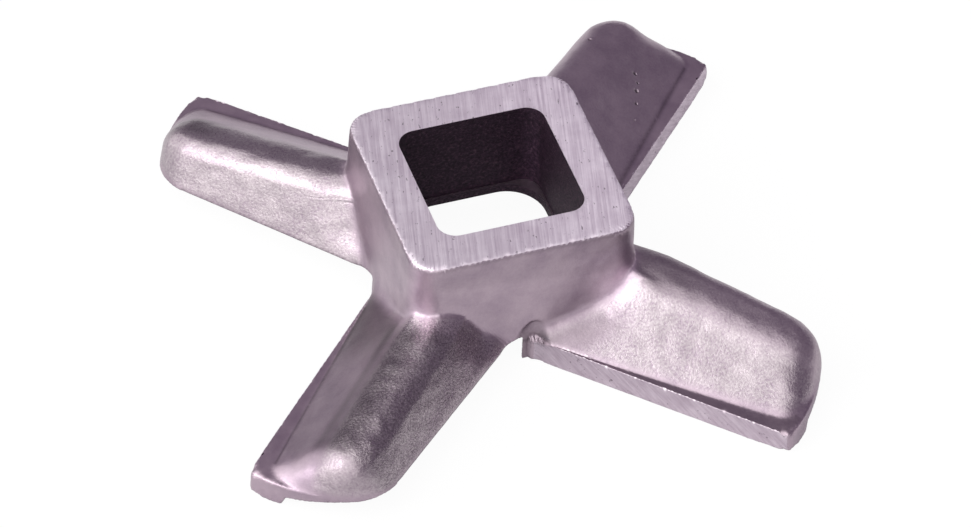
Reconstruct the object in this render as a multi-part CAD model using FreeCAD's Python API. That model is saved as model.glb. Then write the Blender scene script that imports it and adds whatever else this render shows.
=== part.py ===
import FreeCAD, Part
import math
import os
from FreeCAD import Vector, Placement, Rotation

# Four-armed meat grinder knife, cast in one piece and ground on its working faces.
# Millimetres and degrees. Z is the axis of the square drive hole and points up.
# The cutting lands lie in the plane z = 0, the ground top of the hub is the highest face.
# One arm is modelled along +X. Its cutting edge faces -Y, so the knife cuts clockwise
# seen from above. Sizes marked root are taken at root_station from the axis, sizes
# marked tip at tip_station.

# hub
hub_side = 29.1             # across the ground top face
hub_height = 18.8           # from the cutting plane to the top face
hub_corner_radius = 3.4
hub_draft = 1.6             # lean of each flank

# square drive hole
bore_side = 19.05           # across flats, three quarters of an inch
bore_corner_radius = 2.4
bore_lip_height = 1.2       # thin web left round the bottom of the hole
bore_lip_side = 18.5
bore_lip_radius = 5.0
bore_recess_diameter = 28.6  # round hollow under the hub
bore_recess_height = 5.1    # roof of that hollow above the cutting plane

# arms
arm_count = 4
first_arm_angle = 45.0
root_station = 14.0
tip_station = 42.0
ridge_height_root = 11.9    # flat back of the arm
ridge_height_tip = 8.25
crest_offset = 0.3          # where the back turns down into the leading slope
crest_radius = 5.0
back_fall = 4.0             # lean of the flat back towards the cutting edge
foot_offset_root = 9.45     # where the leading slope meets the ledge
foot_offset_tip = 7.3
trail_offset_root = 9.15    # trailing bottom edge
trail_offset_tip = 7.1
trail_height = 3.4          # height of that edge
trail_lean = 26.3           # lean of the trailing side from upright
shoulder_radius = 2.8       # between the trailing side and the back
tip_reach = 46.2            # farthest point of the arm's round end
tip_end_radius = 26.2       # plan radius of that end
tip_end_offset = 6.0        # its centre, to the leading side of the arm's middle
tip_corner_radius = 6.0     # trailing corner of the tip in plan
tip_draft = 4.5             # lean of the end face
tip_roll_radius = 4.8       # the back rolls over into the end face
tip_roll_radius_foot = 2.8  # the same roll beside the ledge
root_blend = 3.2            # concave blend between hub and arm, back and trailing side
root_blend_lead = 4.0       # the same blend at the foot of the leading slope

# cutting blade along the leading edge
lead_offset_root = 9.85     # upright ground face behind the cutting edge
lead_offset_tip = 9.57
ledge_height_root = 3.45    # top of the blade, seen as a flat ledge
ledge_height_tip = 3.14
blade_corner_radius = 1.0   # leading corner of the tip in plan
notch_radius = 2.8          # round inner end of the ground face, beside the hub

# underside
land_width = 4.6            # flat strip that runs on the plate
land_step = 1.3             # height of the step behind the strip
land_step_lean = 25.0       # lean of that step from upright
under_rise = 9.8            # the underside climbs at this angle to the trailing edge

# working allowances
margin = 6.0                # how far cutting bodies reach past the part
inside = 1.0                # how far a body reaches into its neighbour
skirt = 2.0                 # raw arm left below the cutting plane until the underside is cut
share_turn = 1.0            # quarters of the hub meet this far to the trailing side of mid flank
blade_depth = 9.0           # how far the blade's block reaches behind the foot of the slope
touch = 1e-4                # points nearer than this are one point
slack = 0.1                 # an edge this near the round end lies on it
mostly = 0.6                # a face looks one way if this share of its direction does
squarely = 0.9              # the same for a face that looks straight that way


def between(root_value, tip_value, station):
    """A size that changes evenly along the arm, at a distance from the axis."""
    share = (station - root_station) / (tip_station - root_station)
    return root_value + (tip_value - root_value) * share


def tan(angle):
    return math.tan(math.radians(angle))


def unit(vector):
    return vector * (1.0 / vector.Length)


def polygon(points):
    return Part.makePolygon(points + [points[0]])


def tangent_arc(before, corner, after, radius):
    """The three points of the arc that rounds a corner between two straight lines."""
    back, ahead = unit(before - corner), unit(after - corner)
    half = math.acos(max(-1.0, min(1.0, back.dot(ahead)))) / 2
    start = corner + back * (radius / math.tan(half))
    end = corner + ahead * (radius / math.tan(half))
    centre = corner + unit(back + ahead) * (radius / math.sin(half))
    return start, centre + unit(corner - centre) * radius, end


def closed_wire(steps):
    """A closed wire. A step is a point, or the three points of an arc."""
    edges = []
    last = steps[-1][-1] if isinstance(steps[-1], tuple) else steps[-1]
    for step in steps:
        first = step[0] if isinstance(step, tuple) else step
        if last.distanceToPoint(first) > touch:
            edges.append(Part.LineSegment(last, first).toShape())
        if isinstance(step, tuple):
            edges.append(Part.Arc(*step).toShape())
        last = step[-1] if isinstance(step, tuple) else step
    return Part.Wire(edges)


def flat_sided(first, second):
    """Solid between two outlines with as many corners, where every side is flat."""
    faces = [Part.Face(polygon(first)), Part.Face(polygon(second))]
    for i in range(len(first)):
        j = (i + 1) % len(first)
        faces.append(Part.Face(polygon([first[i], first[j], second[j], second[i]])))
    shell = Part.Shell(faces)
    shell.sewShape()
    solid = Part.Solid(shell)
    return solid if solid.Volume > 0 else solid.reversed()


def square_block(half_low, half_high, low, high, corner_radius):
    """A square block round Z with leaning sides and rounded upright corners."""
    block = Part.makeWedge(-half_low, low, -half_low, -half_high, -half_high,
                           half_low, high, half_low, half_high, half_high)
    block.rotate(Vector(), Vector(1, 0, 0), 90)
    corners = [e for e in block.Edges if abs(e.Vertexes[0].Z - e.Vertexes[-1].Z) > inside]
    return block.makeFillet(corner_radius, corners)


def facing(face):
    """Outward direction at the middle of a face."""
    u0, u1, v0, v1 = face.ParameterRange
    return face.normalAt((u0 + u1) / 2, (v0 + v1) / 2)


def fillet_by_place(solid, edges, radius_at):
    """Fillet edges with a radius that is read off at both ends of each one."""
    document = FreeCAD.newDocument("fillet")
    base = document.addObject("Part::Feature", "base")
    base.Shape = solid
    feature = document.addObject("Part::Fillet", "feature")
    feature.Base = base
    spec = []
    for number, edge in enumerate(solid.Edges, 1):
        if any(edge.isSame(e) for e in edges):
            ends = edge.valueAt(edge.FirstParameter), edge.valueAt(edge.LastParameter)
            spec.append((number, radius_at(ends[0]), radius_at(ends[1])))
    feature.Edges = spec
    document.recompute()
    result = feature.Shape.copy()
    FreeCAD.closeDocument("fillet")
    return result


# raw arm along +X: a prism with leaning walls under a lofted top
arm_low = -skirt
arm_high = ridge_height_root + margin
arm_far = tip_reach + margin
slope_fall = (ridge_height_root - arm_low) / (ridge_height_root - ledge_height_root)
arm_lead = foot_offset_root * slope_fall + margin
end_centre = Vector(tip_reach - tip_end_radius, -tip_end_offset, 0)


def end_radius(height):
    return tip_end_radius - (height - ledge_height_tip) * tan(tip_draft)


def arm_walls(height):
    """Plan of the arm's straight walls at a height, trailing side first."""
    shift = (height - trail_height) * tan(trail_lean)
    trail = [Vector(s, between(trail_offset_root, trail_offset_tip, s) - shift, height)
             for s in (0.0, arm_far)]
    return trail + [Vector(arm_far, -arm_lead, height), Vector(0, -arm_lead, height)]


def above_section(station):
    """Section of the space above the arm: flat back, rounded crest, straight leading slope."""
    ledge = between(ledge_height_root, ledge_height_tip, station)
    foot = Vector(station, -between(foot_offset_root, foot_offset_tip, station), ledge)
    ridge = between(ridge_height_root, ridge_height_tip, station)
    crest = Vector(station, -crest_offset, ridge)
    down = (foot - crest) * ((ridge - arm_low + inside) / (ridge - ledge))
    across = trail_offset_root + margin
    behind = crest + Vector(0, across, across * tan(back_fall))
    ahead = crest + down
    top = arm_high + margin
    return closed_wire([behind, tangent_arc(behind, crest, ahead, crest_radius), ahead,
                        Vector(station, ahead.y - margin, ahead.z),
                        Vector(station, ahead.y - margin, top), Vector(station, behind.y, top)])


def edges_between(solid, first_kind, second_kind):
    """Edges where a face of one kind meets a face of the other kind."""
    found = []
    for edge in solid.Edges:
        faces = solid.ancestorsOfType(edge, Part.Face)
        if len(faces) == 2:
            a, b = faces
            if (first_kind(a) and second_kind(b)) or (first_kind(b) and second_kind(a)):
                found.append(edge)
    return found


def is_cone(face):
    return isinstance(face.Surface, Part.Cone)


def is_top(face):
    return facing(face).z > mostly


def end_space():
    """Space beyond the arm's round end, its wall a cone that leans with the draft."""
    low, high = arm_low - inside, arm_high + inside
    cone = Part.makeCone(end_radius(low), end_radius(high), high - low)
    cone.Placement = Placement(end_centre + Vector(0, 0, low), Rotation(Vector(0, 0, 1), 180))
    half = arm_lead + margin
    block = Part.makeBox(arm_far + margin - end_centre.x, 2 * half, high - low,
                         Vector(end_centre.x, -half, low))
    return block.cut(cone)


def sharp_form():
    """Arm with leaning sides, a round end and its shaped top, all edges but the tip's sharp."""
    walls = flat_sided(arm_walls(arm_low), arm_walls(arm_high))
    sections = [above_section(-inside), above_section(arm_far)]
    body = walls.cut(Part.makeLoft(sections, True, True)).cut(end_space()).Solids[0]
    corner = edges_between(body, is_cone, lambda face: facing(face).y > mostly)
    corner = [edge for edge in corner if edge.CenterOfMass.x > end_centre.x]
    return body.makeFillet(tip_corner_radius, corner).Solids[0]


def rim_radius(point):
    """Radius of the rolled rim: small on the shoulder, large round the tip, small at the foot."""
    plan = Vector(point.x, point.y, 0)
    if plan.distanceToPoint(end_centre) < end_radius(point.z) - slack:
        return shoulder_radius
    share = max(0.0, -point.y - crest_offset) / (foot_offset_tip - crest_offset)
    return tip_roll_radius + (tip_roll_radius_foot - tip_roll_radius) * min(1.0, share)


def arm_form():
    body = sharp_form()
    rim = edges_between(body, is_top, lambda face: abs(facing(face).z) < mostly)
    rim = [edge for edge in rim if edge.BoundBox.XMax > end_centre.x]
    return fillet_by_place(body, rim, rim_radius)


def hub_half(height):
    return hub_side / 2 + (hub_height - height) * tan(hub_draft)


def hub_corner(low):
    """Two flanks of the hub and the rounded corner between them, which points along +X."""
    reach = 2 * hub_side
    half_low, half_high = hub_half(low), hub_half(hub_height)
    block = Part.makeWedge(-reach, low, -reach, -reach, -reach,
                           half_low, hub_height, half_low, half_high, half_high)
    block.rotate(Vector(), Vector(1, 0, 0), 90)
    block.rotate(Vector(), Vector(0, 0, 1), 45)
    corner = [edge for edge in block.Edges if edge.BoundBox.XMin > hub_side / 2
              and edge.BoundBox.ZLength > hub_height / 2]
    return block.makeFillet(hub_corner_radius, corner)


def blend_radius(point):
    """Radius of the root blend, growing down the leading slope."""
    share = max(0.0, -point.y - crest_offset) / (foot_offset_root - crest_offset)
    return root_blend + (root_blend_lead - root_blend) * min(1.0, share)


def rooted_arm():
    """Hub corner and arm with the concave blend between them."""
    hub = hub_corner(arm_low)
    arm = arm_form()
    body = hub.fuse(arm).removeSplitter().Solids[0]
    seam = []
    for edge in body.Edges:
        middle = Part.Vertex(edge.valueAt((edge.FirstParameter + edge.LastParameter) / 2))
        on_both = max(middle.distToShape(hub.Shells[0])[0], middle.distToShape(arm.Shells[0])[0])
        if on_both < touch and middle.Z > arm_low + touch:
            seam.append(edge)
    return fillet_by_place(body, seam, blend_radius)


def lead_offset(station):
    return between(lead_offset_root, lead_offset_tip, station)


def lead_corners(height):
    """Plan of the space in front of the ground leading face, its corner at the hub first."""
    flank = hub_half(height) * math.sqrt(2)
    near = Vector(0, -lead_offset(0), height)
    far = Vector(arm_far, -lead_offset(arm_far), height)
    # the ground face meets the hub's flank, x - y = flank
    slope = (far.y - near.y) / (far.x - near.x)
    meet = (flank + near.y) / (1 - slope)
    outer = -arm_lead - margin
    return [Vector(meet, meet - flank, height), far, Vector(arm_far, outer, height),
            Vector(flank + outer, outer, height)]


def lead_space():
    """Space in front of the leading face, rounded where it runs into the hub."""
    space = flat_sided(lead_corners(arm_low - inside), lead_corners(hub_height + margin))
    inner = [edge for edge in space.Edges if edge.BoundBox.XMax < root_station
             and edge.BoundBox.YMin > -root_station and edge.BoundBox.ZLength > hub_height]
    return space.makeFillet(notch_radius, inner)


def blade():
    """Block under the ledge, up to its top, with the arm's own end wall."""
    sections = []
    for station in (root_station - margin, arm_far):
        ledge = between(ledge_height_root, ledge_height_tip, station)
        front = -lead_offset(station) - inside
        back = -between(foot_offset_root, foot_offset_tip, station) + blade_depth
        sections.append([Vector(station, front, arm_low), Vector(station, back, arm_low),
                         Vector(station, back, ledge), Vector(station, front, ledge)])
    return flat_sided(*sections).cut(end_space())


def under_section(station):
    """Section of the space below the arm: land, leaning step, then the rising underside."""
    land_end = -lead_offset(station) + land_width
    step_end = land_end + land_step * tan(land_step_lean)
    front = -arm_lead - 2 * margin
    rear = arm_lead + 2 * margin
    rise = land_step + (rear - step_end) * tan(under_rise)
    low = -skirt - margin
    return [Vector(station, front, 0), Vector(station, land_end, 0),
            Vector(station, step_end, land_step), Vector(station, rear, rise),
            Vector(station, rear, low), Vector(station, front, low)]


def finished_arm():
    """One arm with its quarter of the hub."""
    body = rooted_arm().fuse(blade())
    body = body.cut(lead_space())
    body = body.cut(flat_sided(under_section(-arm_far), under_section(arm_far)))
    low, high = arm_low - inside, hub_height + margin
    reach = 2 * arm_far
    quarter = Part.Face(polygon([Vector(), Vector(reach, -reach, 0), Vector(reach, reach, 0)]))
    quarter.translate(Vector(0, 0, low))
    quarter.rotate(Vector(), Vector(0, 0, 1), -share_turn)
    body = body.common(quarter.extrude(Vector(0, 0, high - low))).removeSplitter().Solids[0]
    corner = [edge for edge in edges_between(body, is_cone, lambda face: facing(face).y < -squarely)
              if edge.BoundBox.XMin > end_centre.x]
    return body.makeFillet(blade_corner_radius, corner)


def square_hole(side, radius, low, high):
    return square_block(side / 2, side / 2, low, high, radius)


def knife():
    arm = finished_arm()
    arms = []
    for i in range(arm_count):
        turned = arm.copy()
        turned.rotate(Vector(), Vector(0, 0, 1), first_arm_angle + i * 360.0 / arm_count)
        arms.append(turned)
    body = arms[0].fuse(arms[1:])
    recess = Part.makeCylinder(bore_recess_diameter / 2, bore_recess_height + margin,
                               Vector(0, 0, -margin))
    lip_top = bore_recess_height + bore_lip_height
    lip = square_hole(bore_lip_side, bore_lip_radius, bore_recess_height - inside, lip_top + inside)
    hole = square_hole(bore_side, bore_corner_radius, lip_top, hub_height + margin)
    return body.cut([recess, lip, hole]).removeSplitter()


shape = knife()
if len(shape.Solids) == 1:
    shape = shape.Solids[0]
print("solids", len(shape.Solids), "valid", shape.isValid(), "volume", round(shape.Volume, 1))
os.makedirs("parts", exist_ok=True)
shape.exportStep("parts/knife.step")
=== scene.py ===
import math
import bmesh
import bpy
import numpy as np
from mathutils import Matrix, Vector, kdtree, noise as field


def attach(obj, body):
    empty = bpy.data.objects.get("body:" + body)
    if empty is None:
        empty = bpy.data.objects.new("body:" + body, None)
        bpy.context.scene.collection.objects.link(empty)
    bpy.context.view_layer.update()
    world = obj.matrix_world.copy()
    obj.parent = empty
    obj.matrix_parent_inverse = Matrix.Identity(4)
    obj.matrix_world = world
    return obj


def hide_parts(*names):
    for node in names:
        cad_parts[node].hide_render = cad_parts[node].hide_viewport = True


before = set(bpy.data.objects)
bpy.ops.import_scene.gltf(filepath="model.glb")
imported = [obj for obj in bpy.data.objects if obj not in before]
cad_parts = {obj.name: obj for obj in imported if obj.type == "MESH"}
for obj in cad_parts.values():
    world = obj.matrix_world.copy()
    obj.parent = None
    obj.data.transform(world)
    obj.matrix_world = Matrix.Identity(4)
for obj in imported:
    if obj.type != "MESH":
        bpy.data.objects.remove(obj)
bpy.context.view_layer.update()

MM = 0.001

# camera, solved from the square hub and the four equal arms; the focal length is in pixels of the photograph
AZIMUTH, ELEVATION, ROLL = math.radians(-21.091), math.radians(45.231), math.radians(3.102)
AWAY, ACROSS, UPWARD = 804.938, -0.102, 1.744
FOCAL_PIXELS, WIDTH_PIXELS, SENSOR = 6418.727, 971, 36.0

# all lengths below are millimetres. On an arm, s runs out along it, t towards its cutting edge, z up.
ARM_ANGLES = {"A": 135.0, "B": 45.0, "C": 315.0, "D": 225.0}
ARMS = {name: (math.cos(math.radians(a)), math.sin(math.radians(a))) for name, a in ARM_ANGLES.items()}

# section of an arm, lengths in pairs for s = ROOT_S and s = TIP_S: height of the ridge and of the ledge,
# t of the slope's foot, -t of the trailing edge
ROOT_S, TIP_S = 14.0, 42.0
RIDGE, LEDGE, FOOT, TRAIL = (11.9, 8.25), (3.45, 3.14), (9.45, 7.3), (9.15, 7.1)
CREST_T, CREST_ROUND, SHOULDER_ROUND = 0.3, 1.45, 1.7
BACK_FALL, TRAIL_LEAN, TRAIL_LEVEL = math.radians(4.0), math.radians(26.3), 3.4
HUB_SIDE, HUB_TOP, HUB_ROUND, HUB_DRAFT = 29.1, 18.8, 3.4, math.radians(1.6)

# what tells faces apart: the ground top lies above NEAR_TOP, leading faces in front of LEAD_T, slopes above
# OVER_LEDGE, the square hole and the arms' backs above HOLLOW_TOP
NEAR_TOP, LEAD_T, OVER_LEDGE, HOLLOW_TOP = 18.6, 9.3, 3.3, 5.0
# half sides of squares round the axis that hold the hole's creases, its walls, and its walls out of sight
HOLE_CREASES, HOLE_WALLS, HOLE_DEPTHS = 10.2, 9.72, 9.6

# longest triangle edges of the skin: in the open, out of sight, along creases, at pits
OPEN_EDGE, PLAIN_EDGE, CREASE_EDGE, PIT_EDGE = 0.82, 1.8, 0.42, 0.15
CREASE_ANGLE, CREASE_REACH = math.radians(20), 0.35
WELD, SLIVER = 1e-6, 2e-6

# root blends: up to REACH a distance keeps the share KEEP of itself, from FAR on all of it. The change sets
# in between the two values of a pair: heights, depth under a surface, t short of the leading face.
REACH, FAR, KEEP = 2.3, 4.1, 0.72
ROOT_FROM, ROOT_UNTIL, SKIN_DEEP, LEAD_FREE = (4.2, 7.0), (18.2, 16.8), (-0.6, -0.15), (9.5, 9.1)

# outer corners of the blades: s and t beyond which the mesh is fine, and beyond which they are worn
CORNER_FINE, CORNER_WORN = (41.6, 6.5), (42.2, 7.6)

# pits in the casting: x, y, radius, depth
PITS = [(27.86, 23.13, 0.26, 0.22), (27.81, 21.88, 0.20, 0.16), (27.27, 20.77, 0.26, 0.24),
        (26.63, 19.01, 0.22, 0.20), (25.73, 16.56, 0.26, 0.22), (24.91, 15.06, 0.24, 0.18),
        (23.52, 28.45, 0.22, 0.16), (30.62, 21.62, 0.34, 0.18), (31.99, 19.27, 0.30, 0.10)]

# a shallow pocket in the near flank, over the gap between arms C and D
POCKET_X, POCKET_HALF, POCKET_TOP, POCKET_ROUND, POCKET_DEPTH = 1.0, 2.4, 6.5, 3.0, 0.48
NEAR_FLANK_Y = -14.95

# how rough the casting is on each arm's back and slope, on its ledges, and on the rest
GRIT = {"A": (1.0, 0.3), "B": (0.3, 0.3), "C": (0.6, 1.0), "D": (1.45, 0.22)}
LEDGE_GRIT, PLAIN_GRIT = 0.05, 0.16

# finishes: turn of the scratches on top and on the leading faces, depth of scratches, colour of burrs
TOP_TURN, LEAD_TURN, SCRATCH_DEPTH = math.radians(14), math.radians(-38), 0.03
BURR_COLOUR = (0.86, 0.78, 0.84)

# light: the floor's glow, how much of it the camera sees and reflections see; where the bright side of the
# surroundings is and how bright; a lamp
FLOOR_HALF, FLOOR_GLOW, FLOOR_SEEN, FLOOR_REFLECTED = 4.0, 1.02, 0.93, 0.3
KEY_SIDE, KEY_LEVEL = (-0.85, -0.25, 0.47), 1.78
LAMP_PLACE, LAMP_SIZE, LAMP_POWER = (-0.62, -0.08, 0.52), 0.45, 1.6


def add_object(name, data):
    thing = bpy.data.objects.new(name, data)
    bpy.context.scene.collection.objects.link(thing)
    return thing


def add_camera():
    out = Vector((math.sin(AZIMUTH) * math.cos(ELEVATION), -math.cos(AZIMUTH) * math.cos(ELEVATION),
                  math.sin(ELEVATION)))
    across = Vector((math.cos(AZIMUTH), math.sin(AZIMUTH), 0))
    upward = out.cross(across)
    right = across * math.cos(ROLL) + upward * math.sin(ROLL)
    up = upward * math.cos(ROLL) - across * math.sin(ROLL)
    eye = out * AWAY + across * ACROSS + upward * UPWARD
    lens = bpy.data.cameras.new("camera")
    lens.sensor_width = SENSOR
    lens.lens = SENSOR * FOCAL_PIXELS / WIDTH_PIXELS
    lens.clip_start, lens.clip_end = 0.05, 20
    camera = add_object("camera", lens)
    camera.matrix_world = Matrix.Translation(eye * MM) @ Matrix((right, up, out)).transposed().to_4x4()
    return camera


bpy.context.scene.camera = add_camera()
bpy.context.scene.view_settings.view_transform = "Standard"


def arm_place(p):
    """The nearest arm's name, and a point's s and t on it."""
    best = max(ARMS, key=lambda n: p[0] * ARMS[n][0] + p[1] * ARMS[n][1])
    c, k = ARMS[best]
    return best, p[0] * c + p[1] * k, p[0] * k - p[1] * c


def arm_places(points):
    """The same for many points, as three arrays."""
    return [np.array(column) for column in zip(*(arm_place(p) for p in points))]


def square_to_cut(ways, arm_names):
    """How squarely directions face the way in which their arms cut."""
    return np.array([w[0] * ARMS[n][1] - w[1] * ARMS[n][0] for w, n in zip(ways, arm_names)])


def from_axis(points):
    """Half side of the upright square round the axis on which each point lies."""
    return np.maximum(abs(points[:, 0]), abs(points[:, 1]))


def smooth_step(value, start, end):
    """0 up to the start and 1 from the end on; the end may be the smaller of the two."""
    share = np.clip((value - start) / (end - start), 0, 1)
    return share * share * (3 - 2 * share)


def bell(value, centre, width):
    """1 at the centre, fading out to both sides."""
    return np.exp(-((value - centre) / width) ** 2)


def noise_at(points, scale, shift=(0, 0, 0)):
    return np.array([field.noise(Vector(p) * scale + Vector(shift)) for p in points])


# skin mesh: the CAD surface in small triangles, smaller along creases, at pits, corners and the pocket
def middle(e):
    return (e.verts[0].co + e.verts[1].co) * 0.5 / MM


def longer(e, length):
    return e.calc_length() > length * MM


def out_of_sight(e):
    """Whether an edge lies on the underside or deep in the square hole."""
    p = middle(e)
    low = p.z < 0.05 or all(f.normal.z < -0.3 for f in e.link_faces)
    return low and p.xy.length < 40 or p.z < 18 and max(abs(p.x), abs(p.y)) < HOLE_DEPTHS


def near_corner(p):
    return p.xy.length > CORNER_FINE[0] and arm_place(p)[2] > CORNER_FINE[1]


def near_pocket(p):
    return p.y < -14 and abs(p.x - POCKET_X) < POCKET_HALF + 0.6 and p.z < POCKET_TOP + 0.6


def near_pit(p):
    return any((p.x - x) ** 2 + (p.y - y) ** 2 < (2.2 * r) ** 2 and p.z > HOLLOW_TOP for x, y, r, _ in PITS)


def only_triangles(bm):
    bmesh.ops.triangulate(bm, faces=[f for f in bm.faces if len(f.verts) > 3])


def split_long(bm, too_long):
    """Halve the edges that are too long, and say whether there were any."""
    found = [e for e in bm.edges if too_long(e)]
    if found:
        bmesh.ops.subdivide_edges(bm, edges=found, cuts=1, use_grid_fill=False)
        only_triangles(bm)
    return bool(found)


def crease_tree(bm):
    places = [v.co / MM for e in bm.edges if not e.smooth for v in e.verts]
    tree = kdtree.KDTree(len(places))
    for i, p in enumerate(places):
        tree.insert(p, i)
    tree.balance()
    return tree


def dense_copy(source):
    """The solid's surface in small triangles, and its creases in a search tree."""
    bm = bmesh.new()
    bm.from_mesh(source.data)
    bmesh.ops.remove_doubles(bm, verts=bm.verts, dist=WELD)
    bmesh.ops.dissolve_degenerate(bm, edges=bm.edges, dist=WELD)
    for e in bm.edges:
        e.smooth = len(e.link_faces) == 2 and e.calc_face_angle(0.0) < CREASE_ANGLE
    for _ in range(8):
        bm.normal_update()
        if not split_long(bm, lambda e: longer(e, PLAIN_EDGE if out_of_sight(e) else OPEN_EDGE)):
            break
    tree = crease_tree(bm)

    def at_detail(p):
        return tree.find(p)[2] < CREASE_REACH or near_pocket(p) or near_corner(p)

    for _ in range(2):
        split_long(bm, lambda e: longer(e, CREASE_EDGE) and at_detail(middle(e)))
    for _ in range(4):
        split_long(bm, lambda e: longer(e, PIT_EDGE) and near_pit(middle(e)))
    bmesh.ops.dissolve_degenerate(bm, edges=bm.edges, dist=SLIVER)
    only_triangles(bm)
    new = bpy.data.meshes.new("knife_skin")
    bm.to_mesh(new)
    bm.free()
    return new, tree


def read(rows, label, width, kind=float):
    """A property of every row of a mesh, as an array."""
    values = np.zeros(len(rows) * width, kind)
    rows.foreach_get(label, values)
    return values.reshape(-1, width)


mesh, crease = dense_copy(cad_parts["knife"])
count = len(mesh.vertices)
co = read(mesh.vertices, "co", 3) / MM
edges = read(mesh.edges, "vertices", 2, int)
triangles = read(mesh.polygons, "vertices", 3, int)
low_corner, high_corner = co.min(0), co.max(0)
sharp = np.array([e.use_edge_sharp for e in mesh.edges])
on_crease = np.zeros(count, bool)
on_crease[edges[sharp].ravel()] = True
degree = np.bincount(edges.ravel(), minlength=count)[:, None]


def relax(points, which, times, share=0.5):
    """Move some of the points, in place, part of the way to the middle of their neighbours."""
    for _ in range(times):
        total = np.zeros_like(points)
        np.add.at(total, edges[:, 0], points[edges[:, 1]])
        np.add.at(total, edges[:, 1], points[edges[:, 0]])
        points[which] += (share * (total / degree - points))[which]


def even_share(points):
    """Share that lets a relaxation reach no farther where triangles are large."""
    lengths = np.linalg.norm(points[edges[:, 0]] - points[edges[:, 1]], axis=1)
    total = sum(np.bincount(edges[:, k], lengths, minlength=count) for k in (0, 1))
    return 0.5 * np.clip((CREASE_EDGE / (total[:, None] / degree)) ** 2, 0, 1)


def outward(points):
    """Outward direction at every point of the mesh."""
    first, second, third = (points[triangles[:, k]] for k in range(3))
    side = np.cross(second - first, third - first)
    total = np.zeros_like(points)
    for k in range(3):
        np.add.at(total, triangles[:, k], side)
    return total / np.maximum(np.linalg.norm(total, axis=1), 1e-12)[:, None]


# facets of the curved faces relaxed with creases held, then all creases but the hole's eased
relax(co, ~on_crease, 10)
away = np.array([crease.find(p)[2] for p in co])
by_hole = from_axis(co) < HOLE_CREASES
even = even_share(co)
relax(co, (away < 0.7) & ~by_hole, 3, even)


# the concave blends where hub and arms meet are drawn in towards the tighter ones of the real casting
def taper(ends, s):
    root, tip = ends
    return root + (tip - root) * (s - ROOT_S) / (TIP_S - ROOT_S)


def soft_max(a, b, width):
    h = np.clip(0.5 + 0.5 * (a - b) / width, 0, 1)
    return b * (1 - h) + a * h + width * h * (1 - h)


def from_hub(q):
    """Distance of points outside the hub's flanks."""
    inner = HUB_SIDE / 2 - HUB_ROUND + (HUB_TOP - q[:, 2]) * math.tan(HUB_DRAFT)
    a, b = abs(q[:, 0]) - inner, abs(q[:, 1]) - inner
    return np.hypot(np.maximum(a, 0), np.maximum(b, 0)) + np.minimum(np.maximum(a, b), 0) - HUB_ROUND


def from_arm(q, name):
    """Distance of points outside an arm's slope, back and trailing side."""
    c, k = ARMS[name]
    s, t, z = q[:, 0] * c + q[:, 1] * k, q[:, 0] * k - q[:, 1] * c, q[:, 2]
    ridge = taper(RIDGE, s)
    fall, run = ridge - taper(LEDGE, s), taper(FOOT, s) - CREST_T
    slope_gap = ((t - CREST_T) * fall + (z - ridge) * run) / np.hypot(fall, run)
    back_gap = (z - ridge - (CREST_T - t) * math.tan(BACK_FALL)) * math.cos(BACK_FALL)
    trail_gap = (-t - taper(TRAIL, s) + (z - TRAIL_LEVEL) * math.tan(TRAIL_LEAN)) * math.cos(TRAIL_LEAN)
    near = soft_max(soft_max(slope_gap, back_gap, CREST_ROUND), trail_gap, SHOULDER_ROUND)
    return np.where(s > 0, near, 50.0)


def gradient(distance, q):
    step = 0.01
    out = np.stack([(distance(q + d) - distance(q - d)) / (2 * step) for d in np.eye(3) * step], 1)
    return out / np.maximum(np.linalg.norm(out, axis=1), 1e-9)[:, None]


def drawn_in(distance):
    """Shift of a distance: scaled near the corner, unchanged from FAR on."""
    d = np.clip(distance, 0, None)
    outer = KEEP * REACH + (d - REACH) * (FAR - KEEP * REACH) / (FAR - REACH)
    return np.where(d < REACH, KEEP * d, np.where(d < FAR, outer, d)) - d


def tighten(q):
    """Shift points so that their distances from hub and arm shrink together."""
    hub, hub_way = from_hub(q), gradient(from_hub, q)
    between = smooth_step(q[:, 2], *ROOT_FROM) * smooth_step(q[:, 2], *ROOT_UNTIL)
    moved = q.copy()
    for name, (c, k) in ARMS.items():
        arm, arm_way = from_arm(q, name), gradient(lambda r: from_arm(r, name), q)
        t = q[:, 0] * k - q[:, 1] * c
        share = smooth_step(hub, *SKIN_DEEP) * smooth_step(arm, *SKIN_DEEP) * smooth_step(t, *LEAD_FREE)
        share *= between
        cosine = (hub_way * arm_way).sum(1)
        det = np.maximum(1 - cosine ** 2, 0.35)
        d_hub, d_arm = drawn_in(hub), drawn_in(arm)
        a, b = (d_hub - cosine * d_arm) / det, (d_arm - cosine * d_hub) / det
        moved += (share * a)[:, None] * hub_way + (share * b)[:, None] * arm_way
    return moved


co = tighten(co)
arm_gap = np.minimum.reduce([from_arm(co, name) for name in ARMS])
at_root = (abs(from_hub(co)) < 3.4) & (abs(arm_gap) < 3.4) & (co[:, 2] > 3.5) & (co[:, 2] < 18)
relax(co, at_root & (away > 0.4), 6)
crest_gap = from_hub(co)
relax(co, (crest_gap > 0.4) & (crest_gap < 7) & (abs(arm_gap) < 1.5) & (co[:, 2] > 7), 6)

# outer corners of the blades are worn rounder than the rest
_, along, beside = arm_places(co)
relax(co, (along > CORNER_WORN[0]) & (beside > CORNER_WORN[1]), 10, even)

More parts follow.
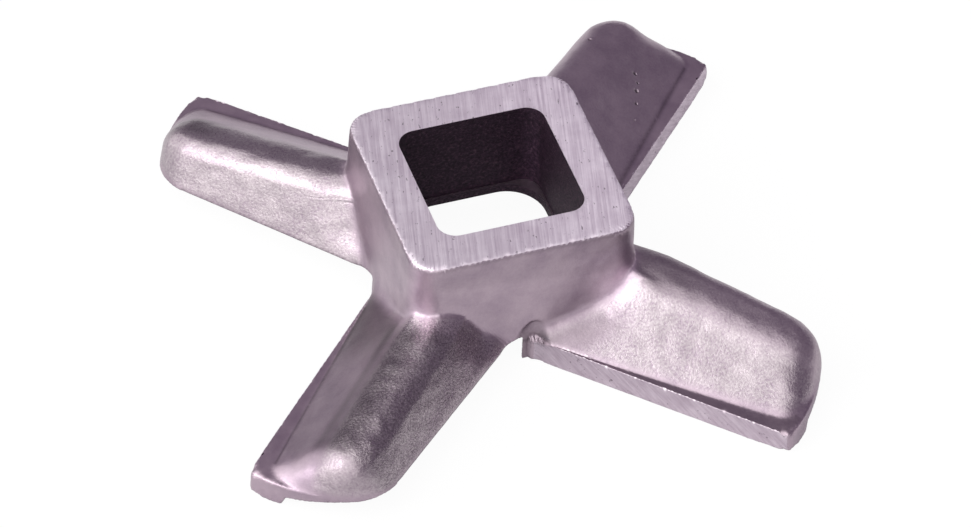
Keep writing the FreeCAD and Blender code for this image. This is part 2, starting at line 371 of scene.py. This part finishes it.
# what is where; height stays a view of the points and follows them
names, along, beside = arm_places(co)
height = co[:, 2]
normal = outward(co)
hub_gap = from_hub(co)
on = {name: names == name for name in ARMS}
on_arm = smooth_step(hub_gap, 0.25, 1.3) * smooth_step(height, 3.2, 4.2)
leading = smooth_step(beside, 0.4, 1.9)
at_end = smooth_step(along, 40.5, 43.0)
on_top = (height > NEAR_TOP) & (normal[:, 2] > 0.8)
on_lead = (square_to_cut(normal, names) > 0.97) & (beside > LEAD_T) & (along > 8)
ground = on_top | on_lead | (height < 0.05)
ledge = (normal[:, 2] > 0.95) & (height < 3.7) & (beside > 6)
slope = smooth_step(beside, 1.6, 3.0) * smooth_step(height, 3.3, 3.9) * (1 - at_end)
slope *= smooth_step(hub_gap, 0.3, 1.6)
low_by_hub = smooth_step(hub_gap, 5.5, 3.0) * smooth_step(height, 8.5, 5.0) * slope * on["C"]

# grit: how rough the casting's skin is, as the photograph shows it
grit = np.full(count, PLAIN_GRIT)
for name, (back_grit, slope_grit) in GRIT.items():
    arm_grit = back_grit * (1 - leading) + slope_grit * leading
    grit[on[name]] = (PLAIN_GRIT * (1 - on_arm) + arm_grit * on_arm)[on[name]]
grit *= 1 - 0.5 * at_end * on["D"]
grit[ledge] = LEDGE_GRIT
grit *= 1 - 0.7 * low_by_hub

# tone: how light it is, 1 for the plain casting; it carries painted light and shade besides the casting's own
# tone
tone_and_painted_light = np.ones(count)
tone_and_painted_light[ledge & on["C"]] = 0.72
# arm D: dark back, with a darker crest and a lighter strip behind it; a dark slope, painted shade for the
# dark surroundings it reflects, darker still by the hub as painted shadow; a dark end; a painted highlight on
# the crest at the root
back = smooth_step(beside, 3.7, 2.3) * smooth_step(beside, -9.5, -3.0) * smooth_step(along, 19.5, 21.5)
tone_and_painted_light -= 0.35 * back * on["D"] * (1 - at_end)
tone_and_painted_light -= 0.08 * bell(beside, 0.2, 1.4) * on_arm * on["D"] * (1 - at_end)
tone_and_painted_light += 0.22 * bell(beside, -3.2, 1.6) * on_arm * on["D"] * (1 - at_end)
tone_and_painted_light -= (0.20 + 0.38 * smooth_step(along, 29, 20)) * slope * on["D"]
tone_and_painted_light -= 0.11 * at_end * (height > 4.5) * on["D"]
# painted highlight: the concave blend at the root catching the light
tone_and_painted_light += 0.8 * bell(along, 20.3, 1.3) * bell(beside, -0.4, 2.4) * (height > 9) * on["D"]
# arm A: light slope, a dark band across the crest's end, a shade line behind the crest
tone_and_painted_light += 0.12 * slope * on["A"]
band = smooth_step(beside, 2.6, 1.2) * smooth_step(beside, -3.0, -1.2) * smooth_step(along, 36, 41)
tone_and_painted_light -= 0.3 * band * on["A"]
shade_line = smooth_step(beside, -3.6, -1.6) * smooth_step(beside, 1.6, 0.2) * smooth_step(hub_gap, 0.5, 2)
tone_and_painted_light -= 0.14 * shade_line * on["A"] * (1 - at_end)
# arm C: painted shade darkens the slope, more so low down by the hub, and the crest at the root, in the
# corner
tone_and_painted_light -= 0.15 * slope * on["C"]
tone_and_painted_light -= 0.24 * low_by_hub
tone_and_painted_light -= 0.22 * smooth_step(beside, 1.4, 0.4) * smooth_step(along, 31, 24) * on_arm * on["C"]
# arm B: painted light on the trailing side; lighter leading face
tone_and_painted_light += 0.17 * smooth_step(beside, -5.5, -7.5) * on_arm * on["B"]
tone_and_painted_light += 0.16 * on_lead * on["B"]
# painted shade: a dark line in the crease where the slopes meet their ledges
foot_shade = bell(beside, taper(FOOT, along) + 0.05, 0.2) * (height < 3.9) * (along < 43.5) * (along > 15)
tone_and_painted_light -= 0.38 * foot_shade * ~on["C"]
# hub: painted shade as a darker band and edge at the top of its flanks; near flank lighter towards arm C,
# painted light, and a painted highlight where the slope's top meets it; ground top lighter to the right,
# painted light
flank = smooth_step(hub_gap, 0.5, 0.2) * (normal[:, 2] < 0.5) * (height < NEAR_TOP)
tone_and_painted_light -= 0.10 * flank * smooth_step(height + 0.12 * co[:, 0], 13.2, 14.4)
tone_and_painted_light -= 0.16 * flank * smooth_step(height, 18.0, 18.3)
tone_and_painted_light += 0.28 * flank * (normal[:, 1] < -0.5) * smooth_step(co[:, 0], 3, 11) * smooth_step(height, 17.5, 14.5)
slope_highlight = bell(height, 10.0, 2.4) * smooth_step(co[:, 0], 7, 11.5) * (normal[:, 1] < -0.3) * (hub_gap < 2)
tone_and_painted_light += 0.66 * slope_highlight
tone_and_painted_light += 0.14 * on_top * smooth_step(co[:, 0], -6, 12)

# waves of the casting, held off at creases and on ground faces
hold = smooth_step(away, 0.2, 1.4) * ~ground
swell = 0.07 * noise_at(co, 0.23) + (0.025 + 0.045 * grit) * noise_at(co, 0.62, (7, 3, 5))
co += normal * (hold * swell)[:, None]

# the pocket, with painted shade in it, darker on its left, and along the ledge under it
sideways, below = co[:, 0] - POCKET_X, POCKET_TOP - co[:, 2]
half_wide = POCKET_HALF * np.sqrt(np.clip(1 - np.clip(1 - below / POCKET_ROUND, 0, 1) ** 2, 1e-6, 1))
hollow = np.clip(1 - (sideways / half_wide) ** 2, 0, 1) * (below > 0)
wall = NEAR_FLANK_Y + POCKET_DEPTH * hollow
off_ledge = (height > OVER_LEDGE) | (co[:, 0] < 0.6)
scooped = (hollow > 0) & (co[:, 1] < wall) & (co[:, 1] > -17.2) & off_ledge
co[:, 1] += scooped * smooth_step(sideways, 1.9, 0.3) * (wall - co[:, 1])
tone_and_painted_light -= (0.14 + 0.24 * smooth_step(sideways, 0.6, -1.8)) * scooped * smooth_step(hollow, 0.0, 0.6)
at_pocket = (abs(sideways) < POCKET_HALF + 0.3) & (below > -0.4) & (co[:, 1] < -14.3) & (co[:, 1] > -17.6)
for _ in range(2):
    relax(co, at_pocket & (height > OVER_LEDGE), 1)
tone_and_painted_light -= 0.25 * at_pocket * (height < 3.4) * (height > 2.9) * (sideways < 1.2)

# pits, darkened with painted shade; the lowest reaches down to HOLLOW_TOP, and its darkening stops there once
# it is dented
for x, y, r, depth in PITS:
    dent = np.exp(-(np.hypot(co[:, 0] - x, co[:, 1] - y) / r) ** 4)
    co[:, 2] -= depth * dent * (height > HOLLOW_TOP)
    tone_and_painted_light -= 0.65 * dent * (height > HOLLOW_TOP)

# burrs: ragged edges of the ground top, on the near and left side, and of the leading faces; a darker top
# edge elsewhere on the left
ragged = noise_at(co, 1.15)
rim = (away < 0.12) & (height > 18.5) & (from_axis(co) > 12)
top_burr = rim & ((co[:, 1] < -14.0) & (co[:, 0] < 11) | (co[:, 0] < -13.2) & (co[:, 1] < -9.5))
tone_and_painted_light -= 0.3 * (rim & ~top_burr & (co[:, 0] < -12))
co += normal * (1, 1, 0) * (top_burr * np.clip(0.03 + 0.18 * ragged, 0, 0.11))[:, None]
lead_burr = (away < 0.12) & (abs(beside - 9.75) < 0.35) & (height > 2.9) & (height < 3.7) & ~at_pocket
co[:, 2] += lead_burr * np.clip(0.02 + 0.16 * ragged, 0, 0.09)
burr = (top_burr | lead_burr) * np.clip(0.55 + 0.9 * ragged, 0, 1)

mesh.vertices.foreach_set("co", (np.clip(co, low_corner, high_corner) * MM).ravel())
mesh.update()
mesh.polygons.foreach_set("use_smooth", np.ones(len(mesh.polygons), bool))
mesh.edges.foreach_set("use_edge_sharp", sharp & by_hole[edges].all(1))
for label, values in (("grit", grit), ("tone_and_painted_light", tone_and_painted_light), ("burr", burr)):
    mesh.attributes.new(label, "FLOAT", "POINT").data.foreach_set("value", values.astype(np.float32))
place = np.stack((along, beside, height), 1).ravel().astype(np.float32)
mesh.attributes.new("place", "FLOAT_VECTOR", "POINT").data.foreach_set("vector", place)
skin = add_object("knife_skin", mesh)


# materials
class Nodes:
    """Short names for building a node tree."""

    def __init__(self, tree):
        self.tree = tree

    def add(self, kind, **values):
        """A node, with its properties and the values of its inputs."""
        node = self.tree.nodes.new(kind)
        for key, value in values.items():
            if hasattr(node, key):
                setattr(node, key, value)
            else:
                node.inputs[key].default_value = value
        return node

    def link(self, output, socket):
        self.tree.links.new(output, socket)

    def feed(self, value, socket):
        """Put a colour, a number or another node's output into a socket."""
        if isinstance(value, tuple):
            socket.default_value = (*value, 1)
        elif isinstance(value, (int, float)):
            socket.default_value = value
        else:
            self.link(value, socket)

    def attribute(self, label, output="Fac"):
        return self.add("ShaderNodeAttribute", attribute_name=label).outputs[output]

    def math(self, op, a, b):
        node = self.add("ShaderNodeMath", operation=op)
        self.feed(a, node.inputs[0])
        self.feed(b, node.inputs[1])
        return node.outputs[0]

    def shares(self, share, a, b):
        """A share of a, and the rest of b."""
        return self.math("ADD", self.math("MULTIPLY", a, share), self.math("MULTIPLY", b, 1 - share))

    def noise(self, vec, scale, detail=4.0, rough=0.55):
        node = self.add("ShaderNodeTexNoise", Scale=scale, Detail=detail, Roughness=rough)
        self.link(vec, node.inputs["Vector"])
        return node.outputs["Fac"]

    def ramp(self, fac, stops):
        node = self.add("ShaderNodeValToRGB")
        elements = node.color_ramp.elements
        while len(elements) < len(stops):
            elements.new(1.0)
        for element, (position, colour) in zip(elements, stops):
            element.position = position
            element.color = (*colour, 1)
        self.link(fac, node.inputs["Fac"])
        return node.outputs["Color"]

    def span(self, fac, low, high, to_low=0.0, to_high=1.0):
        node = self.add("ShaderNodeMapRange")
        for key, v in zip(("From Min", "From Max", "To Min", "To Max"), (low, high, to_low, to_high)):
            node.inputs[key].default_value = v
        self.link(fac, node.inputs["Value"])
        return node.outputs["Result"]

    def mix(self, fac, a, b, how="MIX"):
        node = self.add("ShaderNodeMix", data_type="RGBA", blend_type=how)
        for value, index in ((fac, 0), (a, 6), (b, 7)):
            self.feed(value, node.inputs[index])
        return node.outputs[2]

    def scaled(self, colour, level):
        """A colour made lighter or darker by a level."""
        grey = self.add("ShaderNodeCombineColor")
        for socket in grey.inputs:
            self.link(level, socket)
        return self.mix(1.0, colour, grey.outputs[0], "MULTIPLY")

    def bump(self, height, strength, distance, before=None):
        node = self.add("ShaderNodeBump", Strength=strength, Distance=distance * MM)
        self.link(height, node.inputs["Height"])
        if before is not None:
            self.link(before, node.inputs["Normal"])
        return node.outputs["Normal"]

    def coords(self):
        """Object coordinates in millimetres."""
        node = self.add("ShaderNodeVectorMath", operation="SCALE", Scale=1000)
        self.link(self.add("ShaderNodeTexCoord").outputs["Object"], node.inputs[0])
        return node.outputs[0]

    def turned(self, vec, rotation, scale):
        turn = self.add("ShaderNodeVectorRotate", rotation_type="EULER_XYZ", Rotation=rotation)
        self.link(vec, turn.inputs["Vector"])
        stretch = self.add("ShaderNodeMapping", Scale=scale)
        self.link(turn.outputs[0], stretch.inputs["Vector"])
        return stretch.outputs[0]

    def either(self, fac, first, second):
        """A shader between two shader nodes."""
        node = self.add("ShaderNodeMixShader")
        self.link(fac, node.inputs["Fac"])
        self.link(first.outputs[0], node.inputs[1])
        self.link(second.outputs[0], node.inputs[2])
        return node.outputs[0]


def new_material(name, metallic, rough):
    material = bpy.data.materials.new(name)
    material.use_nodes = True
    bsdf = material.node_tree.nodes["Principled BSDF"]
    bsdf.inputs["Metallic"].default_value = metallic
    bsdf.inputs["Roughness"].default_value = rough
    return material, Nodes(material.node_tree), bsdf


def finish_colour(n, bsdf, colour):
    """Darken a colour by tone, which carries painted light and shade too, and brighten it along burrs."""
    colour = n.mix(n.attribute("burr"), n.scaled(colour, n.attribute("tone_and_painted_light")), BURR_COLOUR)
    n.link(colour, bsdf.inputs["Base Color"])


def cast_material():
    """The casting's skin: cloudy where it is smooth, grainy where it has grit, peppered where it has most."""
    material, n, bsdf = new_material("cast_skin", 1.0, 0.42)
    p, gritty = n.coords(), n.attribute("grit")
    cloud = n.noise(p, 0.22, 4, 0.6)
    grain = n.noise(p, 3.3, 3, 0.6)
    speck = n.noise(p, 7.5, 2, 0.5)
    cloudy = n.ramp(cloud, [(0.34, (0.35, 0.272, 0.338)), (0.62, (0.455, 0.362, 0.427))])
    grainy = n.ramp(n.shares(0.3, cloud, grain),
                    [(0.34, (0.32, 0.255, 0.31)), (0.5, (0.43, 0.37, 0.405)), (0.66, (0.53, 0.47, 0.50))])
    pepper = n.math("SUBTRACT", n.span(n.noise(p, 4.6, 2, 0.6), 0.38, 0.62, 0.55, 1.22), 1.0)
    pepper = n.math("ADD", n.math("MULTIPLY", n.span(gritty, 1.0, 1.6), pepper), 1.0)
    finish_colour(n, bsdf, n.scaled(n.mix(gritty, cloudy, grainy), pepper))
    rough = n.math("SUBTRACT", n.span(speck, 0.3, 0.7, 0.32, 0.46), n.math("MULTIPLY", gritty, 0.06))
    n.link(rough, bsdf.inputs["Roughness"])
    coarse = n.math("MULTIPLY", grain, n.span(gritty, 0.0, 1.0, 0.2, 1.0))
    fine = n.math("MULTIPLY", speck, n.span(gritty, 0.0, 1.0, 0.25, 1.0))
    n.link(n.bump(fine, 0.7, 0.035, n.bump(coarse, 0.8, 0.065)), bsdf.inputs["Normal"])
    return material


def hole_material():
    material, n, bsdf = new_material("hole_skin", 0.6, 0.55)
    grain = n.noise(n.coords(), 2.6, 5, 0.7)
    finish_colour(n, bsdf, n.ramp(grain, [(0.35, (0.012, 0.004, 0.012)), (0.55, (0.045, 0.02, 0.042)),
                                          (0.72, (0.13, 0.07, 0.10))]))
    n.link(n.bump(grain, 0.9, 0.2), bsdf.inputs["Normal"])
    return material


def ground_material(name, light, dark, lines, flecks, rough):
    """Ground steel: fine scratches and dark flecks, each along the coordinates that a function gives."""
    material, n, bsdf = new_material(name, 1.0, rough)
    p = n.coords()
    scratch = n.noise(lines(n, p), 1.0, 5, 0.7)
    streaky = n.ramp(n.shares(0.7, scratch, n.noise(p, 0.4)), [(0.36, dark), (0.62, light)])
    clear = n.span(n.noise(flecks(n, p), 1.0, 3, 0.6), 0.29, 0.35)
    finish_colour(n, bsdf, n.mix(clear, tuple(0.45 * v for v in dark), streaky))
    n.link(n.span(scratch, 0.3, 0.7, rough - 0.06, rough + 0.08), bsdf.inputs["Roughness"])
    n.link(n.bump(scratch, 0.5, SCRATCH_DEPTH), bsdf.inputs["Normal"])
    return material


def top_lines(n, p):
    return n.turned(p, (0, 0, TOP_TURN), (4.2, 0.09, 1.0))


def top_flecks(n, p):
    return n.turned(p, (0, 0, TOP_TURN), (2.6, 1.1, 1.0))


def lead_lines(n, _):
    """Marks that run up and outwards on the leading faces."""
    return n.turned(n.attribute("place", "Vector"), (0, LEAD_TURN, 0), (0.35, 1.0, 3.4))


def even_flecks(n, p):
    return n.turned(p, (0, 0, 0), (1.9, 1.9, 1.9))


def land_lines(n, p):
    """Marks round the axis, from running on the plate: radius and angle."""
    split = n.add("ShaderNodeSeparateXYZ")
    n.link(p, split.inputs[0])
    x, y = split.outputs[0], split.outputs[1]
    flat = n.add("ShaderNodeCombineXYZ")
    n.link(x, flat.inputs[0])
    n.link(y, flat.inputs[1])
    radius = n.add("ShaderNodeVectorMath", operation="LENGTH")
    n.link(flat.outputs[0], radius.inputs[0])
    ring = n.add("ShaderNodeCombineXYZ")
    n.link(n.math("MULTIPLY", radius.outputs["Value"], 5.0), ring.inputs[0])
    n.link(n.math("MULTIPLY", n.math("ARCTAN2", y, x), 3.0), ring.inputs[1])
    return ring.outputs[0]


kinds = [
    cast_material(),
    hole_material(),
    # the top's colours are lighter than the other ground faces': partly its own colour, partly painted sheen
    # for the light its grinding lines scatter
    ground_material("ground_top", (0.84, 0.78, 0.84), (0.64, 0.56, 0.64), top_lines, top_flecks, 0.6),
    ground_material("ground_lead", (0.62, 0.54, 0.61), (0.42, 0.34, 0.41), lead_lines, even_flecks, 0.42),
    ground_material("ground_land", (0.60, 0.55, 0.60), (0.45, 0.38, 0.44), land_lines, even_flecks, 0.38)]
for material in kinds:
    mesh.materials.append(material)

# which face has which of these materials, by their order: 0 cast, 1 hole, 2 top, 3 lead, 4 land
face_middle, face_way = read(mesh.polygons, "center", 3) / MM, read(mesh.polygons, "normal", 3)
face_height, face_upward = face_middle[:, 2], face_way[:, 2]
face_names, face_along, face_beside = arm_places(face_middle)
face_lead = square_to_cut(face_way, face_names)
face_kind = np.zeros(len(mesh.polygons), np.int32)
face_kind[(from_axis(face_middle) < HOLE_WALLS) & (face_height > HOLLOW_TOP) & (abs(face_upward) < 0.6)] = 1
face_kind[(face_height > NEAR_TOP) & (face_upward > 0.75)] = 2
face_kind[(face_lead > 0.9) & (face_beside > LEAD_T) & (face_along > 11.5)] = 3
face_kind[face_height < 0.02] = 4
mesh.polygons.foreach_set("material_index", face_kind)
mesh.validate()

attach(skin, "root")
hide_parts("knife")


def add_floor():
    """A pale floor that shows white, with the object's soft shadow."""
    plane = bpy.data.meshes.new("floor")
    corners = [(FLOOR_HALF * i, FLOOR_HALF * j, 0) for i, j in ((-1, -1), (1, -1), (1, 1), (-1, 1))]
    plane.from_pydata(corners, [], [(0, 1, 2, 3)])
    material, n, bsdf = new_material("floor", 0.0, 1.0)
    bsdf.inputs["Base Color"].default_value = (0.8, 0.8, 0.8, 1)
    bsdf.inputs["Specular IOR Level"].default_value = 0.0
    path = n.add("ShaderNodeLightPath").outputs
    reflected = n.math("MULTIPLY", path["Is Glossy Ray"], FLOOR_REFLECTED)
    seen = n.math("MULTIPLY", n.math("MAXIMUM", path["Is Camera Ray"], reflected), FLOOR_SEEN)
    glow = n.add("ShaderNodeEmission", Strength=FLOOR_GLOW)
    n.link(n.either(seen, bsdf, glow), material.node_tree.nodes["Material Output"].inputs["Surface"])
    plane.materials.append(material)
    return add_object("floor", plane)


def add_world():
    """White to the camera; to the object a broad bright side on its left and a dim room behind."""
    world = bpy.data.worlds.new("world")
    world.use_nodes = True
    n = Nodes(world.node_tree)
    room = world.node_tree.nodes["Background"]
    toward = n.add("ShaderNodeVectorMath", operation="DOT_PRODUCT")
    toward.inputs[1].default_value = Vector(KEY_SIDE).normalized()
    n.link(n.add("ShaderNodeTexCoord").outputs["Generated"], toward.inputs[0])
    shade = n.ramp(n.span(toward.outputs["Value"], -1.0, 1.0),
                   [(0.0, (0.15, 0.125, 0.16)), (0.58, (0.155, 0.13, 0.165)), (0.66, (0.30, 0.27, 0.30)),
                    (0.73, (0.88, 0.87, 0.865)), (1.0, (1.0, 0.995, 0.98))])
    n.link(shade, room.inputs["Color"])
    room.inputs["Strength"].default_value = KEY_LEVEL
    white = n.add("ShaderNodeBackground", Color=(1, 1, 1, 1))
    by_camera = n.add("ShaderNodeLightPath").outputs["Is Camera Ray"]
    n.link(n.either(by_camera, room, white), world.node_tree.nodes["World Output"].inputs["Surface"])
    return world


def add_lamp():
    data = bpy.data.lights.new("key", "AREA")
    data.shape = "DISK"
    data.size = LAMP_SIZE
    data.energy = LAMP_POWER
    lamp = add_object("key", data)
    lamp.location = LAMP_PLACE
    lamp.rotation_euler = (-Vector(LAMP_PLACE)).to_track_quat("-Z", "Y").to_euler()


floor = add_floor()
bpy.context.scene.world = add_world()
add_lamp()
